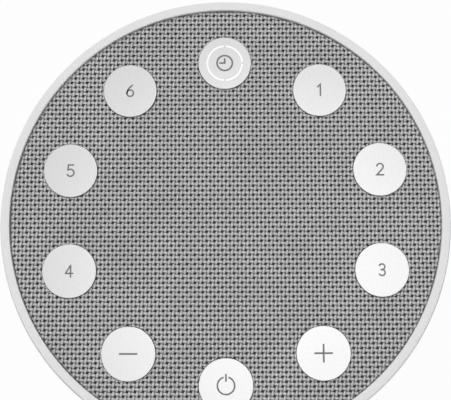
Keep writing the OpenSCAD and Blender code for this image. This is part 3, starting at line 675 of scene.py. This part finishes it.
cloth = {
    "pitch": (1.1226, 1.3293),        # mm between warp threads, and between weft threads
    "phase": (0.207, 0.644),          # mm, where a large opening sits
    "middle": 48.72,                  # mm, height of the cloth's middle
    "lift": (0.17, 0.16),             # mm, how far warp and weft wave up and down
    "sway": (0.16, 0.06),             # mm, how far warp and weft give way at the large openings
    "warp": (0.61, 0.3), "weft": (0.63, 0.3),    # mm, width and thickness of a thread
    "crown": 0.3,                     # share of a thread's width that its flat top takes
    "swell": 0.28,                    # share by which a thread spreads on top and narrows below
    "edge": 61.5, "bend": 0.08, "turned": 0.9,   # mm, where the cloth turns down over the plate
    "lining": (48.4, 48.46),          # mm, heights of the felt under the weave
    "well": 7.82, "circle": 46.9, "timerIn": 0.8,   # mm, the holes for the buttons
    "perCross": 3,                    # points along a thread from one crossing to the next
    "pullBack": 1.02,                 # points of a thread up to this many steps inside a well are kept
    "spare": 1,                       # mm of thread past the turned-down edge, before it is cut off
    "wellSteps": 64, "discSteps": 128,           # of the felt's holes and outline
}
calc = "ShaderNodeMath"
vector = "ShaderNodeVectorMath"
joinXyz = "ShaderNodeCombineXYZ"
splitXyz = "ShaderNodeSeparateXYZ"
setPosition = "GeometryNodeSetPosition"


# The rows that weave one set of threads: along is 0 where they run on X, 1 on Y
def yarnRows(along):
    across = 1 - along
    return [
        # straight threads, side by side
        ("gaps", calc, {"operation": "SUBTRACT", 1: 1}, {0: "Points"}),
        ("span", calc, {"operation": "MULTIPLY"}, {0: "gaps", 1: "Step"}),
        ("first", calc, {"operation": "MULTIPLY", 1: -0.5}, {0: "span"}),
        ("lead", joinXyz, {}, {along: "first"}),
        ("pace", joinXyz, {}, {along: "Step"}),
        ("thread", "GeometryNodeMeshLine", {"mode": "OFFSET"},
         {"Count": "Points", "Start Location": "lead", "Offset": "pace"}),
        ("thread gaps", calc, {"operation": "SUBTRACT", 1: 1}, {0: "Threads"}),
        ("breadth", calc, {"operation": "MULTIPLY"}, {0: "thread gaps", 1: "Pitch"}),
        ("side", calc, {"operation": "MULTIPLY", 1: -0.5}, {0: "breadth"}),
        ("side lead", joinXyz, {}, {across: "side"}),
        ("side pace", joinXyz, {}, {across: "Pitch"}),
        ("starts", "GeometryNodeMeshLine", {"mode": "OFFSET"},
         {"Count": "Threads", "Start Location": "side lead", "Offset": "side pace"}),
        ("threads", "GeometryNodeInstanceOnPoints", {}, {"Points": "starts", "Instance": "thread"}),
        ("real", "GeometryNodeRealizeInstances", {}, {0: "threads"}),
        ("phased", setPosition, {}, {"Geometry": "real", "Offset": "Phase"}),

        # over and under, with the sway that makes every other opening large
        ("place", "GeometryNodeInputPosition", {}, {}),
        ("free", vector, {"operation": "SUBTRACT"}, {0: "place", 1: "Phase"}),
        ("part", splitXyz, {}, {0: "free"}),
        ("row", calc, {"operation": "DIVIDE"}, {0: ("part", across), 1: "Pitch"}),
        ("u", calc, {"operation": "MULTIPLY", 1: pi}, {0: "row"}),
        ("crossing", calc, {"operation": "DIVIDE"}, {0: ("part", along), 1: "Cross pitch"}),
        ("v", calc, {"operation": "MULTIPLY", 1: pi}, {0: "crossing"}),
        ("sine u", calc, {"operation": "SINE"}, {0: "u"}),
        ("sine v", calc, {"operation": "SINE"}, {0: "v"}),
        ("cosine v", calc, {"operation": "COSINE"}, {0: "v"}),
        ("swing", calc, {"operation": "MULTIPLY"}, {0: "sine u", 1: "cosine v"}),
        ("swayed", calc, {"operation": "MULTIPLY"}, {0: "swing", 1: "Sway"}),
        ("wave", calc, {"operation": "MULTIPLY"}, {0: "sine u", 1: "sine v"}),
        ("over", calc, {"operation": "MULTIPLY", 1: 1 - 2 * along}, {0: "wave"}),
        ("height", calc, {"operation": "MULTIPLY_ADD"}, {0: "over", 1: "Lift", 2: "Height"}),
        ("shift", joinXyz, {}, {across: "swayed", 2: "height"}),
        ("woven", setPosition, {}, {"Geometry": "phased", "Offset": "shift"}),

        # the middles of the ten wells, the timer's first and a little nearer the middle
        ("circle", "GeometryNodeMeshCircle", {"Vertices": len(clockwise)}, {"Radius": "Well circle"}),
        ("turned", "GeometryNodeTransform", {"Rotation": (0, 0, pi / 2)}, {"Geometry": "circle"}),
        ("order", "GeometryNodeInputIndex", {}, {}),
        ("is timer", calc, {"operation": "LESS_THAN", 1: 0.5}, {0: "order"}),
        ("nearer", calc, {"operation": "MULTIPLY", 1: -1}, {0: "Timer in"}),
        ("timer shift", joinXyz, {}, {1: "nearer"}),
        ("wells", setPosition, {},
         {"Geometry": "turned", "Selection": "is timer", "Offset": "timer shift"}),

        # threads end on the wall of a well, or where the turned-down edge ends
        ("here", "GeometryNodeInputPosition", {}, {}),
        ("flat", vector, {"operation": "MULTIPLY", 1: (1, 1, 0)}, {0: "here"}),
        ("near", "GeometryNodeProximity", {"target_element": "POINTS"},
         {0: "wells", "Sample Position": "flat"}),
        ("radius", vector, {"operation": "LENGTH"}, {0: "flat"}),
        ("inner", calc, {"operation": "MULTIPLY_ADD", 1: -cloth["pullBack"]},
         {0: "Step", 2: "Well radius"}),
        ("in well", calc, {"operation": "LESS_THAN"}, {0: ("near", "Distance"), 1: "inner"}),
        ("reach", calc, {"operation": "ADD"}, {0: "Edge radius", 1: "Turned"}),
        ("outside", calc, {"operation": "GREATER_THAN"}, {0: ("radius", "Value"), 1: "reach"}),
        ("cut off", calc, {"operation": "MAXIMUM"}, {0: "in well", 1: "outside"}),
        ("kept", "GeometryNodeDeleteGeometry", {"domain": "POINT"},
         {"Geometry": "woven", "Selection": "cut off"}),
        ("off middle", vector, {"operation": "SUBTRACT"}, {0: "flat", 1: ("near", "Position")}),
        ("away", vector, {"operation": "NORMALIZE"}, {0: "off middle"}),
        ("short", calc, {"operation": "SUBTRACT"}, {0: "Well radius", 1: ("near", "Distance")}),
        ("push", calc, {"operation": "MAXIMUM", 1: 0}, {0: "short"}),
        ("to wall", vector, {"operation": "SCALE"}, {0: "away", "Scale": "push"}),
        ("trimmed", setPosition, {}, {"Geometry": "kept", "Offset": "to wall"}),

        # the turn over the plate's edge: a quarter bend, then straight down
        ("over edge", calc, {"operation": "SUBTRACT"}, {0: ("radius", "Value"), 1: "Edge radius"}),
        ("past", calc, {"operation": "MAXIMUM", 1: 0}, {0: "over edge"}),
        ("bend turn", calc, {"operation": "DIVIDE"}, {0: "past", 1: "Bend"}),
        ("angle", calc, {"operation": "MINIMUM", 1: pi / 2}, {0: "bend turn"}),
        ("sine", calc, {"operation": "SINE"}, {0: "angle"}),
        ("cosine", calc, {"operation": "COSINE"}, {0: "angle"}),
        ("out", calc, {"operation": "MULTIPLY"}, {0: "Bend", 1: "sine"}),
        ("pull", calc, {"operation": "SUBTRACT"}, {0: "out", 1: "past"}),
        ("quarter", calc, {"operation": "MULTIPLY", 1: pi / 2}, {0: "Bend"}),
        ("beyond", calc, {"operation": "SUBTRACT"}, {0: "past", 1: "quarter"}),
        ("run", calc, {"operation": "MAXIMUM", 1: 0}, {0: "beyond"}),
        ("lowest", calc, {"operation": "ADD"}, {0: "Bend", 1: "run"}),
        ("curl", calc, {"operation": "MULTIPLY"}, {0: "Bend", 1: "cosine"}),
        ("bend fall", calc, {"operation": "SUBTRACT"}, {0: "curl", 1: "lowest"}),
        ("outward", vector, {"operation": "NORMALIZE"}, {0: "flat"}),
        ("inward", vector, {"operation": "SCALE"}, {0: "outward", "Scale": "pull"}),
        ("fall", joinXyz, {}, {2: "bend fall"}),
        ("down", vector, {"operation": "ADD"}, {0: "inward", 1: "fall"}),
        ("shaped", setPosition, {}, {"Geometry": "trimmed", "Offset": "down"}),

        # threads with a crown narrower than the foot, spread where they pass on top
        ("lines", "GeometryNodeMeshToCurve", {}, {0: "shaped"}),
        ("spread", calc, {"operation": "MULTIPLY_ADD", 2: 1}, {0: "over", 1: "Swell"}),
        ("level", "GeometryNodeSetCurveNormal", {"mode": "Z_UP"}, {0: "lines"}),
        ("crown", calc, {"operation": "MULTIPLY"}, {0: "Width", 1: "Crown share"}),
        ("section", "GeometryNodeCurvePrimitiveQuadrilateral", {"mode": "TRAPEZOID", "Offset": 0},
         {"Bottom Width": "Width", "Top Width": "crown", "Height": "Thickness"}),
        ("body", "GeometryNodeCurveToMesh", {"Fill Caps": True},
         {"Curve": "level", "Profile Curve": "section", "Scale": "spread"}),
        ("clear", setPosition, {}, {"Geometry": "body", "Offset": "to wall"}),
        ("soft", "GeometryNodeSetShadeSmooth", {}, {0: "clear"}),
        ("whole", "GeometryNodeRealizeInstances", {}, {0: "soft"}),
        ("dyed", "GeometryNodeSetMaterial", {}, {"Geometry": "whole", "Material": "Material"}),
        ("output", "NodeGroupOutput", {}, {"Geometry": "dyed"}),
    ]


yarnInputs = [
    ("Pitch", "Float"), ("Cross pitch", "Float"), ("Threads", "Int"), ("Points", "Int"),
    ("Step", "Float"), ("Width", "Float"), ("Thickness", "Float"), ("Sway", "Float"),
    ("Lift", "Float"), ("Height", "Float"), ("Swell", "Float"), ("Edge radius", "Float"),
    ("Bend", "Float"), ("Turned", "Float"), ("Well circle", "Float"), ("Well radius", "Float"),
    ("Timer in", "Float"), ("Phase", "Vector"), ("Crown share", "Float"),
    ("Material", "Material"),
]


def yarnMesh(name, along, material):
    c = cloth
    pitch, crossPitch = c["pitch"][1 - along], c["pitch"][along]
    step = crossPitch / c["perCross"]
    reach = c["edge"] + c["turned"] + c["spare"]
    count = 2 * ceil(reach / pitch)                # an even count puts the middle between two threads
    width, thickness = (c["weft"], c["warp"])[along]
    values = {
        "Pitch": pitch * mm, "Cross pitch": crossPitch * mm, "Threads": count,
        "Points": 2 * ceil(reach / step) + 1, "Step": step * mm,
        "Width": width * mm, "Thickness": thickness * mm, "Sway": c["sway"][1 - along] * mm,
        "Lift": c["lift"][1 - along] * mm, "Height": c["middle"] * mm, "Edge radius": c["edge"] * mm,
        "Bend": c["bend"] * mm, "Turned": c["turned"] * mm, "Well circle": c["circle"] * mm,
        "Well radius": c["well"] * mm, "Timer in": c["timerIn"] * mm, "Swell": c["swell"],
        "Phase": [c["phase"][0] * mm, c["phase"][1] * mm, 0],
        "Crown share": c["crown"], "Material": material,
    }
    tree = newTree(name + "_tree", yarnInputs, yarnRows(along))
    return grown(name, tree, values)


hem = {                                # mm, and numbers of steps
    "inner": 61.36, "outer": 61.78, "low": 46.35, "high": 48.0, "round": 0.1,
    "steps": 256, "roundSteps": 4,
}


# The warp with the turned-down hem that closes the cloth's edge
def warpMesh():
    h = hem
    near, far = h["inner"] + h["round"], h["outer"] - h["round"]
    lower, upper = h["low"] + h["round"], h["high"] - h["round"]
    band = []
    for turn, (r, z) in enumerate([(far, upper), (near, upper), (near, lower), (far, lower)]):
        band += arc(r, z, h["round"], 90 * turn, 90 * turn + 90, h["roundSteps"])
    ring = lathe("hem", band, h["steps"], closed=True)
    mesh = gathered("cloth_warp", [yarnMesh("warp", 1, warpYarn), ring])
    return smoothed(mesh, 180)                     # threads have no crisp edge


clothWarp = addPiece("cloth_warp", warpMesh(), warpYarn, "housing", ["grille_cloth"])
clothWeft = addPiece("cloth_weft", yarnMesh("cloth_weft", 0, weftYarn), weftYarn, "housing")


# The felt under the weave: a thin disc with a hole for each button
def liningMesh():
    c = cloth
    low, high = c["lining"]
    disc = [(0, low), (c["edge"], low), (c["edge"], high), (0, high)]
    holes = []
    for i in range(len(clockwise)):
        wall = [(0, low - overcut), (c["well"], low - overcut), (c["well"], high + overcut),
                (0, high + overcut)]
        holes.append(lathe("well", wall, c["wellSteps"], buttonCentre(i)))
    return carve("cloth_lining", lathe("lining_disc", disc, c["discSteps"]), holes)


clothLining = addPiece("cloth_lining", liningMesh(), liningFelt, "housing")
print("cloth ready:", len(clothWarp.data.polygons), len(clothWeft.data.polygons))


# The other pieces keep their solids
finishes = {
    "grille_frame": blackAbs, "base_cover": housingAbs, "base_screws": screwSteel,
    "rubber_feet": footRubber, "control_board": boardLaminate, "power_board": boardLaminate,
    "control_board_screws": screwSteel, "power_board_screws": screwSteel, "control_chip": chipResin,
    "amplifier_chip": chipResin, "tact_switches": switchPlastic, "timer_lights": lampResin,
    "speaker_gasket": gasketFoam, "speaker_basket": basketSteel, "speaker_screws": screwSteel,
    "speaker_top_plate": motorSteel, "speaker_magnet": magnetFerrite, "speaker_yoke": motorSteel,
    "speaker_surround": surroundRubber, "speaker_spider": spiderCloth, "speaker_cone": conePaper,
    "speaker_dust_cap": conePaper, "voice_coil": coilCopper, "speaker_terminals": terminalBoard,
    "power_socket": blackAbs, "power_socket_pin": contactBrass, "capacitor": capacitorSleeve,
    "wire_sockets": socketNylon, "speaker_wires": redWire, "control_wires": greyWire,
}
finishes.update({name + "_plunger": switchPlastic for name in clockwise})
for node, material in finishes.items():
    nodes[node].data.materials.clear()
    nodes[node].data.materials.append(material)
print("inner pieces ready")


studio = {
    "floor": "#E6E6E6", "floorRoughness": 0.9,
    "floorSize": 6.0,                  # metres
    "floorLevel": -0.05,               # mm
    "floorGlow": 0.95,                 # share of plain white in what the camera sees of the floor
    "ambient": 0.15,                   # strength of the world's light on the object
    "lamps": [  # name, place in mm, size in mm, power in watts, whether gloss mirrors it
        ("key", (-1150, 1850, 1960), 1200, 37.3, False),
        ("overhead", (60, 34, 1000), 480, 3.5, True),
        ("fill", (500, -2300, 640), 1400, 16, False),
    ],
}


# 1 for rays from the camera, a mirror or glass, and 0 for the light that falls on the object
def seenShare(tree):
    path = addNode(tree, "ShaderNodeLightPath").outputs
    first = addNode(tree, "ShaderNodeMath", {"operation": "MAXIMUM"},
                    {0: path["Is Camera Ray"], 1: path["Is Glossy Ray"]}).outputs[0]
    return addNode(tree, "ShaderNodeMath", {"operation": "MAXIMUM"},
                   {0: first, 1: path["Is Transmission Ray"]}).outputs[0]


world = bpy.data.worlds.new("studio")
world.use_nodes = True
bpy.context.scene.world = world
tree = world.node_tree
tree.nodes.clear()
soft = addNode(tree, "ShaderNodeBackground", {"Color": (1, 1, 1, 1), "Strength": studio["ambient"]})
white = addNode(tree, "ShaderNodeBackground", {"Color": (1, 1, 1, 1), "Strength": 1.0})
mixed = addNode(tree, "ShaderNodeMixShader", None,
                {0: seenShare(tree), 1: soft.outputs[0], 2: white.outputs[0]})
addNode(tree, "ShaderNodeOutputWorld", None, {"Surface": mixed.outputs[0]})

half = studio["floorSize"] / 2
floorMesh = bpy.data.meshes.new("floor")
floorMesh.from_pydata([(x, y, studio["floorLevel"] * mm) for x, y in
                        ((-half, -half), (half, -half), (half, half), (-half, half))], [],
                      [(0, 1, 2, 3)])
floor = bpy.data.objects.new("floor", floorMesh)
bpy.context.scene.collection.objects.link(floor)
floor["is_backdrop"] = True
floorPaint = bpy.data.materials.new("floor_paint")
floorPaint.use_nodes = True
tree = floorPaint.node_tree
shader = tree.nodes["Principled BSDF"]
shader.inputs["Base Color"].default_value = linear(studio["floor"])
shader.inputs["Roughness"].default_value = studio["floorRoughness"]
shader.inputs["Specular IOR Level"].default_value = 0.0        # no gloss
glow = addNode(tree, "ShaderNodeEmission", {"Color": (1, 1, 1, 1), "Strength": 1.0})
share = addNode(tree, "ShaderNodeMath", {"operation": "MULTIPLY", 1: studio["floorGlow"]},
                {0: seenShare(tree)})
mixed = addNode(tree, "ShaderNodeMixShader", None,
                {0: share.outputs[0], 1: shader.outputs[0], 2: glow.outputs[0]})
behind = addNode(tree, "ShaderNodeNewGeometry").outputs["Backfacing"]      # clear from below
clear = addNode(tree, "ShaderNodeBsdfTransparent").outputs[0]
shown = addNode(tree, "ShaderNodeMixShader", None, {0: behind, 1: mixed.outputs[0], 2: clear})
tree.links.new(shown.outputs[0], tree.nodes["Material Output"].inputs["Surface"])
floorMesh.materials.append(floorPaint)

for name, place, size, power, mirrored in studio["lamps"]:
    lamp = bpy.data.lights.new(name, "AREA")
    lamp.shape = "DISK"
    lamp.size = size * mm
    lamp.energy = power
    lampObject = bpy.data.objects.new(name, lamp)
    lampObject.visible_glossy = mirrored
    lampObject.location = [v * mm for v in place]
    toObject = Vector((0, 0, shell["top"] * mm)) - lampObject.location
    lampObject.rotation_euler = toObject.to_track_quat("-Z", "Y").to_euler()
    bpy.context.scene.collection.objects.link(lampObject)

bpy.context.scene.view_settings.view_transform = "Standard"
print("studio ready")


def plain(bounds):
    return [[float(v) for v in row] if hasattr(row, "__len__") else float(row) for row in bounds]


{"cad": plain(cadBounds), "visual": plain(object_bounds())}
